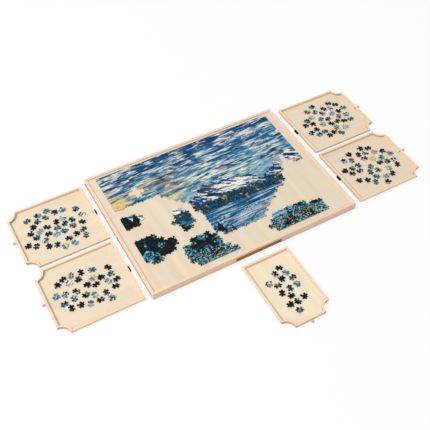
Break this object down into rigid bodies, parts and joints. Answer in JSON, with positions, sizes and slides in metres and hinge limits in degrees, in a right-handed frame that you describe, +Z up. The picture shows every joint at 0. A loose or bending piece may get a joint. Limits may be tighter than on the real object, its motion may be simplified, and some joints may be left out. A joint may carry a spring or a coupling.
{
  "type": "jigsaw puzzle storage case",
  "caption": "Low wooden puzzle board with a raised rim and shallow sorting trays that slide in under it from the left, right and front, each with a knob, the side ones with magnetic catches.",
  "frame": {"origin": "on the table, under the middle of the case, on the underside of the rail that ends the front bay", "axes": "+X along the case's long side, to the right seen from the front tray; +Y to the back rail; +Z up"},
  "size_m": [1.3835, 0.855, 0.027],
  "materials": {
    "rim_wood": "pale solid wood, fine sanded, thin matt lacquer",
    "inner_wood": "pale solid wood, sawn and unfinished",
    "board_ply": "pale plywood face veneer, fine sanded",
    "tray_ply": "pale plywood face veneer, fine sanded",
    "tray_rail_wood": "pale solid wood, fine sanded",
    "knob_wood": "turned hardwood, waxed",
    "screw_steel": "zinc plated steel",
    "strike_steel": "plain steel plate",
    "black_plastic": "black moulded magnet housing",
    "printed_card": "satin printed card with grey card edges"
  },
  "bodies": {
    "case": {"work_board": "board_ply", "rim_rail_front": "rim_wood", "rim_rail_back": "rim_wood", "rim_rail_left": "rim_wood", "rim_rail_right": "rim_wood", "divider_left": "inner_wood", "divider_right": "inner_wood", "mid_rail_left": "inner_wood", "mid_rail_right": "inner_wood", "front_stop_rail": "inner_wood", "runner_strips": "inner_wood", "strike_plates": "strike_steel", "strike_plate_screws": "screw_steel", "assembled_puzzle": "printed_card"},
    "left_back_tray": {"left_back_tray_floor": "tray_ply", "left_back_tray_side_rails": "tray_rail_wood", "left_back_tray_inner_rail": "tray_rail_wood", "left_back_tray_outer_rail": "tray_rail_wood", "left_back_tray_notch_walls": "tray_rail_wood", "left_back_tray_knob": "knob_wood", "left_back_tray_knob_screw": "screw_steel", "left_back_tray_magnet": "black_plastic", "left_back_tray_loose_pieces": "printed_card"},
    "left_front_tray": {"left_front_tray_floor": "tray_ply", "left_front_tray_side_rails": "tray_rail_wood", "left_front_tray_inner_rail": "tray_rail_wood", "left_front_tray_outer_rail": "tray_rail_wood", "left_front_tray_notch_walls": "tray_rail_wood", "left_front_tray_knob": "knob_wood", "left_front_tray_knob_screw": "screw_steel", "left_front_tray_magnet": "black_plastic", "left_front_tray_loose_pieces": "printed_card"},
    "right_back_tray": {"right_back_tray_floor": "tray_ply", "right_back_tray_side_rails": "tray_rail_wood", "right_back_tray_inner_rail": "tray_rail_wood", "right_back_tray_outer_rail": "tray_rail_wood", "right_back_tray_notch_walls": "tray_rail_wood", "right_back_tray_knob": "knob_wood", "right_back_tray_knob_screw": "screw_steel", "right_back_tray_magnet": "black_plastic", "right_back_tray_loose_pieces": "printed_card"},
    "right_front_tray": {"right_front_tray_floor": "tray_ply", "right_front_tray_side_rails": "tray_rail_wood", "right_front_tray_inner_rail": "tray_rail_wood", "right_front_tray_outer_rail": "tray_rail_wood", "right_front_tray_notch_walls": "tray_rail_wood", "right_front_tray_knob": "knob_wood", "right_front_tray_knob_screw": "screw_steel", "right_front_tray_magnet": "black_plastic", "right_front_tray_loose_pieces": "printed_card"},
    "front_tray": {"front_tray_floor": "tray_ply", "front_tray_side_rails": "tray_rail_wood", "front_tray_inner_rail": "tray_rail_wood", "front_tray_outer_rail": "tray_rail_wood", "front_tray_notch_walls": "tray_rail_wood", "front_tray_knob": "knob_wood", "front_tray_knob_screw": "screw_steel", "front_tray_loose_pieces": "printed_card"}
  },
  "joints": [
    {"name": "left_back_tray_slide", "type": "slide", "parent": "case", "child": "left_back_tray", "axis": [1, 0, 0], "range_m": [0, 0.292]},
    {"name": "left_front_tray_slide", "type": "slide", "parent": "case", "child": "left_front_tray", "axis": [1, 0, 0], "range_m": [0, 0.292]},
    {"name": "right_back_tray_slide", "type": "slide", "parent": "case", "child": "right_back_tray", "axis": [-1, 0, 0], "range_m": [0, 0.3075]},
    {"name": "right_front_tray_slide", "type": "slide", "parent": "case", "child": "right_front_tray", "axis": [-1, 0, 0], "range_m": [0, 0.3075]},
    {"name": "front_tray_slide", "type": "slide", "parent": "case", "child": "front_tray", "axis": [0, 1, 0], "range_m": [0, 0.295]}
  ]
}
